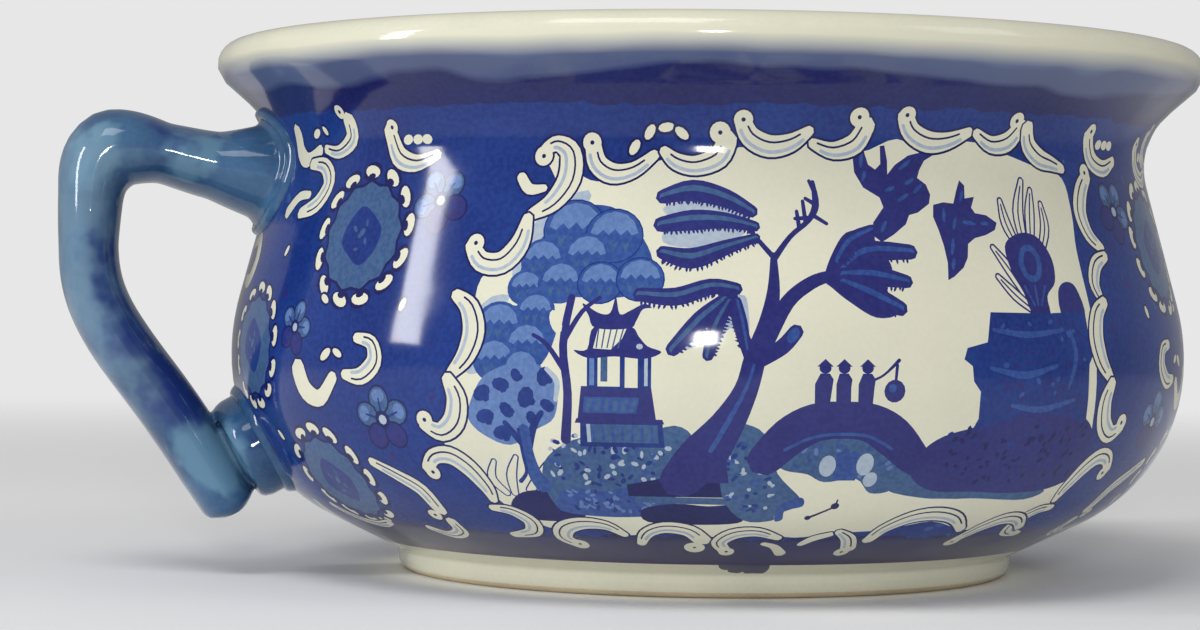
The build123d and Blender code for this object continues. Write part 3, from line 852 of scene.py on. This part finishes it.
def body_mesh():
    """The whole pot: the printed wall twice round, and the rest of the section turned."""
    flat, triangles, inks = print_sheet()
    spots, normals, faces, face_inks = [], [], [], []
    keys = {}

    def key_of(x, y):
        return (round((x / half_girth * (around // 2)) % around, 4), round(y, 3))

    count = 0
    for half in range(2):
        angle = flat[:, 0] / girth_radius + half * math.pi
        places, out = turned(outline_at(flat[:, 1]), angle)
        index = np.zeros(len(flat), int)
        for i, (x, y) in enumerate(flat):
            shared = abs(abs(x) - half_girth / 2) < 1e-3 \
                or min(abs(y - print_low), abs(y - print_high)) < 1e-4
            if shared:
                key = key_of(x + half * half_girth, y)
                if key in keys:
                    index[i] = keys[key]
                    continue
                keys[key] = count
            index[i] = count
            spots.append(places[i])
            normals.append(out[i])
            count += 1
        faces += index[triangles].tolist()
        face_inks += inks.tolist()

    def ring_of(row):
        nonlocal count
        if row[0] < 1e-6:
            place, out = turned(row, np.zeros(1))
            spots.append(place[0])
            normals.append(out[0])
            count += 1
            return [count - 1]
        angle = 2 * math.pi * np.arange(around) / around
        places, out = turned(np.repeat(row[None], around, axis=0), angle)
        spots.extend(places)
        normals.extend(out)
        count += around
        return list(range(count - around, count))

    def edge_ring(level):
        return [keys[(float(k), round(level, 3))] for k in range(around)]

    def join(lower, upper, ink):
        for k in range(around):
            after = (k + 1) % around
            if len(lower) == 1:
                faces.append((lower[0], upper[after], upper[k]))
            elif len(upper) == 1:
                faces.append((lower[k], lower[after], upper[0]))
            else:
                faces.append((lower[k], lower[after], upper[after], upper[k]))
            face_inks.append(ink)

    below = body_rows[climb < print_low - 0.3]
    above = body_rows[climb > print_high + 0.3]
    rings = [ring_of(row) for row in below]
    for row, lower, upper in zip(below, rings, rings[1:]):
        join(lower, upper, BARE if row[1] < 1.2 and row[0] > seat_radius - 1 else CREAM)
    join(rings[-1], edge_ring(print_low), CREAM)
    rings = [ring_of(row) for row in above]
    join(edge_ring(print_high), rings[0], CREAM)
    for lower, upper in zip(rings, rings[1:]):
        join(lower, upper, CREAM)
    return spots, faces, face_inks, normals


def curve_points(points, count):
    """Evenly spaced points on a smooth curve through some points, and their directions."""
    points = np.array(points, float)
    knots = np.concatenate(([0], np.cumsum(np.linalg.norm(np.diff(points, axis=0), axis=1))))
    gaps = np.diff(knots)
    size = len(points)
    system = np.zeros((size, size))
    target = np.zeros((size, points.shape[1]))
    system[0, :2] = 2, 1
    system[-1, -2:] = 1, 2
    rise = np.diff(points, axis=0) / gaps[:, None]
    target[0], target[-1] = 3 * rise[0], 3 * rise[-1]
    for i in range(1, size - 1):
        system[i, i - 1], system[i, i + 1] = gaps[i], gaps[i - 1]
        system[i, i] = 2 * (gaps[i] + gaps[i - 1])
        target[i] = 3 * (gaps[i] * rise[i - 1] + gaps[i - 1] * rise[i])
    slopes = np.linalg.solve(system, target)
    fine = []
    for i in range(size - 1):
        for t in np.linspace(0, 1, 60, endpoint=i == size - 2):
            fine.append(
                points[i] * (1 + 2 * t) * (1 - t) ** 2
                + points[i + 1] * t * t * (3 - 2 * t)
                + gaps[i] * (slopes[i] * t * (1 - t) ** 2 - slopes[i + 1] * t * t * (1 - t))
            )
    fine = np.array(fine)
    length = np.concatenate(([0], np.cumsum(np.linalg.norm(np.diff(fine, axis=0), axis=1))))
    even = np.linspace(0, length[-1], count)
    line = np.stack([np.interp(even, length, fine[:, k]) for k in range(fine.shape[1])], -1)
    direction = np.gradient(line, axis=0)
    return line, direction / np.linalg.norm(direction, axis=1)[:, None]


def strap_shell():
    """The strap's skin: rounded sections down its middle line, with a rounded tail."""
    stations, sides = 96, 48
    line, direction = curve_points(handle_line, stations)
    steps = np.arange(len(strap_sections))
    where = np.linspace(0, len(strap_sections) - 1, stations)
    thickness = np.interp(where, steps, [size[0] for size in strap_sections])
    width = np.interp(where, steps, [size[1] for size in strap_sections])
    length = np.concatenate(([0], np.cumsum(np.linalg.norm(np.diff(line, axis=0), axis=1))))
    near_tail = np.clip(1 - (length[-1] - length) / tail_round, 0, 1)
    inset = tail_round * (1 - np.sqrt(1 - near_tail ** 2))
    spots = []
    for i in range(stations):
        across = np.array((-direction[i][1], direction[i][0]))
        for k in range(sides):
            a = 2 * math.pi * k / sides
            side = math.sin(a) * (width[i] / 2 - inset[i])
            away = line[i] + across * (thickness[i] / 2 - inset[i]) * math.cos(a)
            spots.append((-away[0], side, away[1]))
    faces = [
        (j * sides + k, j * sides + (k + 1) % sides,
         (j + 1) * sides + (k + 1) % sides, (j + 1) * sides + k)
        for j in range(stations - 1) for k in range(sides)
    ]
    faces.append(tuple(range(sides - 1, -1, -1)))
    faces.append(tuple((stations - 1) * sides + k for k in range(sides)))
    return np.array(spots), faces


def wall_gap(spots):
    """How far points stand off the outside of the wall, and the wall's normal beside each."""
    away = np.hypot(spots[:, 0], spots[:, 1])
    outside = body_rows[(climb > -3) & (climb < 150)]
    gap_r = away[:, None] - outside[None, :, 0]
    gap_z = spots[:, 2][:, None] - outside[None, :, 1]
    near = np.argmin(gap_r ** 2 + gap_z ** 2, axis=1)
    every = np.arange(len(spots))
    row = outside[near]
    gap = gap_r[every, near] * row[:, 2] + gap_z[every, near] * row[:, 3]
    out = np.stack((spots[:, 0] / away * row[:, 2], spots[:, 1] / away * row[:, 2], row[:, 3]), -1)
    return gap, out


def oval_shell(place, lean, size, lift_at, hole=0.0, sink=-1.2):
    """The skin of an oval of clay on the wall, whose lift depends on how far out it is."""
    rings, sides = 28, 84
    turn = math.radians(lean)
    out = np.array((-math.cos(turn), 0, math.sin(turn)))
    up = np.array((math.sin(turn), 0, math.cos(turn)))
    a = 2 * math.pi * np.arange(sides) / sides
    spots = []
    shells = []
    for outer_skin in (False, True):
        shell = []
        for j in range(rings + 1):
            far = hole + (1 - hole) * j / rings
            lift = lift_at(far) if outer_skin else sink
            base = np.array((-place[0], 0, place[1])) \
                + far * (size[0] / 2 * np.cos(a)[:, None] * np.array((0, 1, 0))
                         + size[1] / 2 * np.sin(a)[:, None] * up)
            low, high = np.full(sides, -16.0), np.full(sides, 22.0)
            for _ in range(24):
                middle = (low + high) / 2
                under = wall_gap(base + middle[:, None] * out)[0] < lift
                low, high = np.where(under, middle, low), np.where(under, high, middle)
            shell.append(len(spots))
            spots += list(base + low[:, None] * out)
        shells.append(shell)
    faces = []

    def band(first, second):
        for k in range(sides):
            after = (k + 1) % sides
            faces.append((first + k, second + k, second + after, first + after))

    for inner, outer in zip(shells[1], shells[1][1:]):
        band(inner, outer)
    for inner, outer in zip(shells[0], shells[0][1:]):
        band(outer, inner)
    band(shells[1][-1], shells[0][-1])
    band(shells[0][0], shells[1][0])
    return np.array(spots), faces


def fused(name, shells, voxel, passes, material):
    """Shells of clay run together into one closed skin, pressed flat inside the wall."""
    spots, faces = [], []
    for shell, shell_faces in shells:
        faces += [tuple(len(spots) + k for k in face) for face in shell_faces]
        spots += list(shell)
    rough = bpy.data.meshes.new(name)
    rough.from_pydata([tuple(spot * mm) for spot in spots], [], faces)
    rough_piece = bpy.data.objects.new(name, rough)
    bpy.context.scene.collection.objects.link(rough_piece)
    remesh = rough_piece.modifiers.new("run_together", "REMESH")
    remesh.mode = "VOXEL"
    remesh.voxel_size = voxel * mm
    smooth = rough_piece.modifiers.new("soften", "SMOOTH")
    smooth.iterations = passes
    smooth.factor = 0.5
    ready = rough_piece.evaluated_get(bpy.context.evaluated_depsgraph_get())
    mesh = bpy.data.meshes.new_from_object(ready)
    bpy.data.objects.remove(rough_piece)
    spots = np.empty(len(mesh.vertices) * 3)
    mesh.vertices.foreach_get("co", spots)
    spots = spots.reshape(-1, 3) / mm
    gap, out = wall_gap(spots)
    spots += out * np.maximum(-1.5 - gap, 0)[:, None]
    mesh.vertices.foreach_set("co", (spots * mm).ravel())
    mesh.materials.clear()
    mesh.materials.append(material)
    mesh.shade_smooth()
    mesh.update()
    mesh.name = name
    piece = bpy.data.objects.new(name, mesh)
    bpy.context.scene.collection.objects.link(piece)
    return piece


def reeded(height, start, beads):
    """A lift that is level in the middle and steps down to the wall in rounded beads."""
    def lift(far):
        if far <= start:
            return height
        step = (far - start) / (1 - start) * beads
        bead = min(int(step), beads - 1)
        top = height * (1 - 0.28 * bead)
        return top * (0.62 + 0.38 * math.sqrt(max(0.0, 1 - (2 * (step - bead) - 1) ** 2)))
    return lift


def ridge(height, hole):
    """A lift that makes a rounded bead between an oval's hole and its edge."""
    return lambda far: height * math.sin(math.pi * (far - hole) / (1 - hole)) ** 0.7 - 0.4


def srgb(red, green, blue):
    """A colour given as it looks on screen, from 0 to 255, in the shader's own terms."""
    parts = []
    for part in (red, green, blue):
        part /= 255
        parts.append(part / 12.92 if part <= 0.04045 else ((part + 0.055) / 1.055) ** 2.4)
    return (*parts, 1.0)


def clouded_group():
    """A colour that drifts between two shades: broad clouds with a fine grain over them."""
    group = bpy.data.node_groups.new("clouded", "ShaderNodeTree")
    for label, kind, way in (
        ("Shade", "NodeSocketColor", "INPUT"), ("Other", "NodeSocketColor", "INPUT"),
        ("Cloud size", "NodeSocketFloat", "INPUT"), ("Grain size", "NodeSocketFloat", "INPUT"),
        ("Grain", "NodeSocketFloat", "INPUT"), ("Colour", "NodeSocketColor", "OUTPUT"),
    ):
        group.interface.new_socket(label, in_out=way, socket_type=kind)
    nodes, links = group.nodes, group.links
    given = nodes.new("NodeGroupInput")
    result = nodes.new("NodeGroupOutput")
    place = nodes.new("ShaderNodeTexCoord")
    cloud = nodes.new("ShaderNodeTexNoise")
    cloud.inputs["Detail"].default_value = 3
    grain = nodes.new("ShaderNodeTexNoise")
    grain.inputs["Detail"].default_value = 2
    spread = nodes.new("ShaderNodeMapRange")
    spread.inputs["From Min"].default_value = 0.36
    spread.inputs["From Max"].default_value = 0.64
    fine = nodes.new("ShaderNodeMapRange")
    fine.inputs["From Min"].default_value = 0.4
    fine.inputs["From Max"].default_value = 0.6
    share = nodes.new("ShaderNodeMix")
    blend = nodes.new("ShaderNodeMix")
    blend.data_type = "RGBA"
    links.new(place.outputs["Object"], cloud.inputs["Vector"])
    links.new(place.outputs["Object"], grain.inputs["Vector"])
    links.new(given.outputs["Cloud size"], cloud.inputs["Scale"])
    links.new(given.outputs["Grain size"], grain.inputs["Scale"])
    links.new(cloud.outputs["Fac"], spread.inputs["Value"])
    links.new(grain.outputs["Fac"], fine.inputs["Value"])
    links.new(given.outputs["Grain"], share.inputs[0])
    links.new(spread.outputs["Result"], share.inputs[2])
    links.new(fine.outputs["Result"], share.inputs[3])
    links.new(share.outputs[0], blend.inputs[0])
    links.new(given.outputs["Shade"], blend.inputs[6])
    links.new(given.outputs["Other"], blend.inputs[7])
    links.new(blend.outputs[2], result.inputs["Colour"])
    return group


def waviness_group():
    """The slight waviness of a fired glaze, as a normal."""
    group = bpy.data.node_groups.new("waviness", "ShaderNodeTree")
    group.interface.new_socket("Depth", in_out="INPUT", socket_type="NodeSocketFloat")
    group.interface.new_socket("Normal", in_out="OUTPUT", socket_type="NodeSocketVector")
    nodes, links = group.nodes, group.links
    given = nodes.new("NodeGroupInput")
    result = nodes.new("NodeGroupOutput")
    place = nodes.new("ShaderNodeTexCoord")
    swell = nodes.new("ShaderNodeTexNoise")
    swell.inputs["Scale"].default_value = 45
    swell.inputs["Detail"].default_value = 1
    bump = nodes.new("ShaderNodeBump")
    bump.inputs["Strength"].default_value = 1.0
    links.new(place.outputs["Object"], swell.inputs["Vector"])
    links.new(swell.outputs["Fac"], bump.inputs["Height"])
    links.new(given.outputs["Depth"], bump.inputs["Distance"])
    links.new(bump.outputs["Normal"], result.inputs["Normal"])
    return group


clouded = clouded_group()
waviness = waviness_group()


def glazed(name, shade, other, clouds=40.0, grains=900.0, grain=0.3, rough=0.09, wave=0.0004):
    """A glazed surface whose colour drifts between two shades."""
    material = bpy.data.materials.new(name)
    material.use_nodes = True
    nodes, links = material.node_tree.nodes, material.node_tree.links
    surface = nodes["Principled BSDF"]
    surface.inputs["Roughness"].default_value = rough
    surface.inputs["IOR"].default_value = 1.42
    tint = nodes.new("ShaderNodeGroup")
    tint.node_tree = clouded
    tint.inputs["Shade"].default_value = srgb(*shade)
    tint.inputs["Other"].default_value = srgb(*other)
    tint.inputs["Cloud size"].default_value = clouds
    tint.inputs["Grain size"].default_value = grains
    tint.inputs["Grain"].default_value = grain
    links.new(tint.outputs["Colour"], surface.inputs["Base Color"])
    if wave:
        swell = nodes.new("ShaderNodeGroup")
        swell.node_tree = waviness
        swell.inputs["Depth"].default_value = wave
        links.new(swell.outputs["Normal"], surface.inputs["Normal"])
    return material


body_looks = (
    glazed("cream_glaze", (228, 226, 204), (220, 219, 198)),
    glazed("mist_blue_print", (160, 176, 196), (178, 190, 202), grain=0.6),
    glazed("pale_blue_print", (86, 114, 168), (102, 132, 184), grain=0.6),
    glazed("slate_blue_print", (54, 82, 128), (70, 102, 144), grain=0.6),
    glazed("mid_blue_print", (42, 70, 138), (58, 90, 156), grain=0.6),
    glazed("deep_blue_print", (20, 43, 114), (34, 62, 136), grain=0.45),
    glazed("violet_print", (38, 40, 108), (48, 52, 122), grain=0.5),
    glazed("rim_band", (28, 32, 90), (38, 44, 104), grain=0.5),
    glazed("dark_blue_print", (20, 24, 80), (28, 34, 98), grain=0.4),
    glazed("bare_clay", (214, 200, 172), (196, 180, 150), rough=0.7, wave=0),
)
handle_look = glazed("blue_glaze", (42, 76, 116), (72, 110, 148), clouds=60.0, grain=0.15, rough=0.08)


def pooled_glaze_and_painted_light(material, colour, spots, strength, soft=0.4):
    """Another colour in soft, uneven patches round some spots: glaze that has gathered, and on the handle also painted
    highlight and painted shade.
    """
    nodes, links = material.node_tree.nodes, material.node_tree.links
    surface = nodes["Principled BSDF"]
    base = surface.inputs["Base Color"].links[0].from_socket
    place = nodes.new("ShaderNodeTexCoord")
    drift = nodes.new("ShaderNodeTexNoise")
    drift.inputs["Scale"].default_value = 120
    drift.inputs["Detail"].default_value = 2
    wander = nodes.new("ShaderNodeVectorMath")
    wander.operation = "MULTIPLY_ADD"
    wander.inputs[1].default_value = (0.018, 0.018, 0.018)
    links.new(place.outputs["Object"], drift.inputs["Vector"])
    links.new(place.outputs["Object"], wander.inputs[2])
    links.new(drift.outputs["Color"], wander.inputs[0])
    share = None
    for across, height, size in spots:
        away = nodes.new("ShaderNodeVectorMath")
        away.operation = "DISTANCE"
        away.inputs[1].default_value = (across * mm + 0.009, -0.004, height * mm + 0.009)
        near = nodes.new("ShaderNodeMapRange")
        near.interpolation_type = "SMOOTHSTEP"
        near.inputs["From Min"].default_value = size * (1.1 + soft) * mm
        near.inputs["From Max"].default_value = size * (1.1 - soft) * mm
        near.inputs["To Max"].default_value = strength
        links.new(wander.outputs["Vector"], away.inputs[0])
        links.new(away.outputs["Value"], near.inputs["Value"])
        if share is None:
            share = near.outputs["Result"]
            continue
        more = nodes.new("ShaderNodeMath")
        more.operation = "MAXIMUM"
        links.new(share, more.inputs[0])
        links.new(near.outputs["Result"], more.inputs[1])
        share = more.outputs[0]
    blend = nodes.new("ShaderNodeMix")
    blend.data_type = "RGBA"
    blend.inputs[7].default_value = srgb(*colour)
    links.new(share, blend.inputs[0])
    links.new(base, blend.inputs[6])
    links.new(blend.outputs[2], surface.inputs["Base Color"])


def fade_upwards(material, low, high):
    """Ink that thins from one height to another, with an uneven edge; the paler top is partly painted reflection on the
    flare as it turns up.
    """
    nodes, links = material.node_tree.nodes, material.node_tree.links
    surface = nodes["Principled BSDF"]
    base = surface.inputs["Base Color"].links[0].from_socket
    place = nodes.new("ShaderNodeTexCoord")
    split = nodes.new("ShaderNodeSeparateXYZ")
    drift = nodes.new("ShaderNodeTexNoise")
    drift.inputs["Scale"].default_value = 22
    drift.inputs["Detail"].default_value = 2
    rise = nodes.new("ShaderNodeMath")
    rise.operation = "MULTIPLY_ADD"
    rise.inputs[1].default_value = 0.012
    height = nodes.new("ShaderNodeMapRange")
    height.inputs["From Min"].default_value = low * mm + 0.006
    height.inputs["From Max"].default_value = high * mm + 0.006
    thinning_and_painted_sheen = nodes.new("ShaderNodeValToRGB")
    thinning_and_painted_sheen.color_ramp.elements[0].color = (0, 0, 0, 1)
    thinning_and_painted_sheen.color_ramp.elements[1].color = (1, 1, 1, 1)
    middle = thinning_and_painted_sheen.color_ramp.elements.new(0.25)
    middle.color = (0.62, 0.62, 0.62, 1)
    late = thinning_and_painted_sheen.color_ramp.elements.new(0.8)
    late.color = (0.7, 0.7, 0.7, 1)
    blend = nodes.new("ShaderNodeMix")
    blend.data_type = "RGBA"
    blend.inputs[7].default_value = srgb(104, 118, 152)
    links.new(place.outputs["Object"], split.inputs[0])
    links.new(place.outputs["Object"], drift.inputs["Vector"])
    links.new(drift.outputs["Fac"], rise.inputs[0])
    links.new(split.outputs["Z"], rise.inputs[2])
    links.new(rise.outputs[0], height.inputs["Value"])
    links.new(height.outputs["Result"], thinning_and_painted_sheen.inputs[0])
    links.new(thinning_and_painted_sheen.outputs["Color"], blend.inputs[0])
    links.new(base, blend.inputs[6])
    clearing = nodes.new("ShaderNodeMapRange")
    clearing.inputs["From Min"].default_value = high * mm + 0.0002
    clearing.inputs["From Max"].default_value = high * mm + 0.0044
    level = nodes.new("ShaderNodeMath")
    level.operation = "MULTIPLY_ADD"
    level.inputs[1].default_value = 0.003
    links.new(drift.outputs["Fac"], level.inputs[0])
    links.new(split.outputs["Z"], level.inputs[2])
    bare = nodes.new("ShaderNodeMix")
    bare.data_type = "RGBA"
    bare.inputs[7].default_value = srgb(224, 222, 200)
    links.new(level.outputs[0], clearing.inputs["Value"])
    links.new(clearing.outputs["Result"], bare.inputs[0])
    links.new(blend.outputs[2], bare.inputs[6])
    links.new(bare.outputs[2], surface.inputs["Base Color"])


# Pale glaze on the lower pad, the arm's top and the thumb corner: partly painted highlight where these catch the light
pooled_glaze_and_painted_light(handle_look, (102, 142, 168), ((-121, 30, 7), (-117, 25, 5), (-124, 97, 6), (-146, 98, 6)), 0.8)
# Painted highlight: pale patches down the outer side of the grip, which faces the window lamp
pooled_glaze_and_painted_light(handle_look, (124, 154, 174), (
    (-153, 93, 9), (-154, 83, 10), (-154, 72, 10), (-150, 61, 8), (-144, 50, 7), (-137, 40, 6),
), 0.6, soft=0.9)
# Cobalt glaze in patches; on the inner side of the lower arm, which faces the wall, and under the upper arm it is
# partly painted shade
pooled_glaze_and_painted_light(handle_look, (26, 44, 116), (
    (-142, 75, 4.5), (-139.5, 68, 5.5), (-136.5, 62, 6.5), (-133, 55, 7.5), (-129.5, 49, 8),
    (-126, 43, 7.5), (-128.5, 103, 4.5), (-134, 88, 4), (-118, 84, 4), (-108, 32, 5),
), 0.85, soft=0.65)
# The rim band pales towards the lip: thinner ink, and partly a painted reflection where the flare turns up
fade_upwards(body_looks[RIM], outline_at(129.5)[1], outline_at(137.2)[1])

# The pieces
whole_print()
spots, faces, face_inks, normals = body_mesh()
body = new_piece("pot_body", spots, faces, face_inks, normals, body_looks)
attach(body, "root")
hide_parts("body")

upper_hole = (upper_pad_size[0] - 3) / upper_bead_size[0]
lower_hole = (lower_pad_size[0] - 3) / lower_bead_size[0]
handle = fused("loop_handle", (
    strap_shell(),
    oval_shell(upper_pad_place, upper_pad_lean, upper_pad_size, reeded(3.9, 0.7, 3)),
    oval_shell(lower_pad_place, lower_pad_lean, lower_pad_size, reeded(6.4, 0.7, 1)),
), 0.5, 9, handle_look)
upper_slip = fused("upper_slip_bead", (
    oval_shell(upper_pad_place, upper_pad_lean, upper_bead_size, ridge(2.0, upper_hole), upper_hole),
), 0.5, 6, handle_look)
lower_slip = fused("lower_slip_bead", (
    oval_shell(lower_pad_place, lower_pad_lean, lower_bead_size, ridge(1.9, lower_hole), lower_hole),
), 0.5, 6, handle_look)
for piece, node in ((handle, "handle"), (upper_slip, "upper_slip"), (lower_slip, "lower_slip")):
    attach(piece, "root")
    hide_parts(node)


# The floor, which fades out into the pale backdrop
ground = bpy.data.meshes.new("floor")
reach = 1.3
ground.from_pydata(
    [(-reach, -reach, 0), (reach, -reach, 0), (reach, reach, 0), (-reach, reach, 0)],
    [], [(0, 1, 2, 3)],
)
floor = bpy.data.objects.new("floor", ground)
bpy.context.scene.collection.objects.link(floor)
paper = bpy.data.materials.new("paper")
paper.use_nodes = True
nodes, links = paper.node_tree.nodes, paper.node_tree.links
nodes["Principled BSDF"].inputs["Base Color"].default_value = srgb(250, 250, 250)
nodes["Principled BSDF"].inputs["Roughness"].default_value = 0.9
place = nodes.new("ShaderNodeTexCoord")
away = nodes.new("ShaderNodeVectorMath")
away.operation = "LENGTH"
fade = nodes.new("ShaderNodeMapRange")
fade.interpolation_type = "SMOOTHSTEP"
fade.inputs["From Min"].default_value = 0.3
fade.inputs["From Max"].default_value = 1.2
clear = nodes.new("ShaderNodeBsdfTransparent")
choice = nodes.new("ShaderNodeMixShader")
links.new(place.outputs["Object"], away.inputs[0])
links.new(away.outputs["Value"], fade.inputs["Value"])
links.new(fade.outputs["Result"], choice.inputs[0])
links.new(nodes["Principled BSDF"].outputs[0], choice.inputs[1])
links.new(clear.outputs[0], choice.inputs[2])
links.new(choice.outputs[0], nodes["Material Output"].inputs["Surface"])
ground.materials.append(paper)

# Soft studio light
world = bpy.data.worlds.new("studio")
bpy.context.scene.world = world
world.use_nodes = True
sky_nodes, sky_links = world.node_tree.nodes, world.node_tree.links
air = sky_nodes["Background"]
air.inputs["Color"].default_value = (1, 1, 1, 1)
air.inputs["Strength"].default_value = 0.31
backdrop = sky_nodes.new("ShaderNodeBackground")
backdrop.inputs["Color"].default_value = (0.8, 0.8, 0.8, 1)
seen = sky_nodes.new("ShaderNodeLightPath")
choice = sky_nodes.new("ShaderNodeMixShader")
sky_links.new(seen.outputs["Is Camera Ray"], choice.inputs[0])
sky_links.new(air.outputs[0], choice.inputs[1])
sky_links.new(backdrop.outputs[0], choice.inputs[2])
sky_links.new(choice.outputs[0], sky_nodes["World Output"].inputs["Surface"])


def softbox(name, spot, aim, size, power):
    """A rectangular lamp that faces a point."""
    lamp = bpy.data.lights.new(name, "AREA")
    lamp.shape = "RECTANGLE"
    lamp.size, lamp.size_y = size
    lamp.energy = power
    holder = bpy.data.objects.new(name, lamp)
    holder.location = spot
    holder.rotation_euler = (Vector(aim) - Vector(spot)).to_track_quat("-Z", "Y").to_euler()
    bpy.context.scene.collection.objects.link(holder)
    return holder


softbox("key", (-0.75, -1.0, 2.3), (0, 0, 0.05), (1.2, 1.0), 17)
softbox("window", (-1.3, -0.12, 0.46), (0, 0, 0.08), (0.18, 0.6), 6)
softbox("front", (-0.28, -1.27, 0.3), (0, 0, 0.06), (0.14, 0.14), 4.4)
softbox("fill", (1.5, -1.0, 1.6), (0, 0, 0.05), (0.9, 0.9), 4)

# The camera looks across the rim from just above the lip, a little round to the handle's side
lens = bpy.data.cameras.new("camera")
lens.lens = 90
lens.sensor_width = 36
camera = bpy.data.objects.new("camera", lens)
camera.location = (-0.1638, -0.7093, 0.0668)
heading = math.atan2(camera.location.x, -camera.location.y)
camera.rotation_euler = (
    math.radians(90 + camera_dip),
    math.radians(camera_roll),
    heading + math.radians(camera_swing),
)
bpy.context.scene.collection.objects.link(camera)
bpy.context.scene.camera = camera
bpy.context.scene.view_settings.view_transform = "Standard"
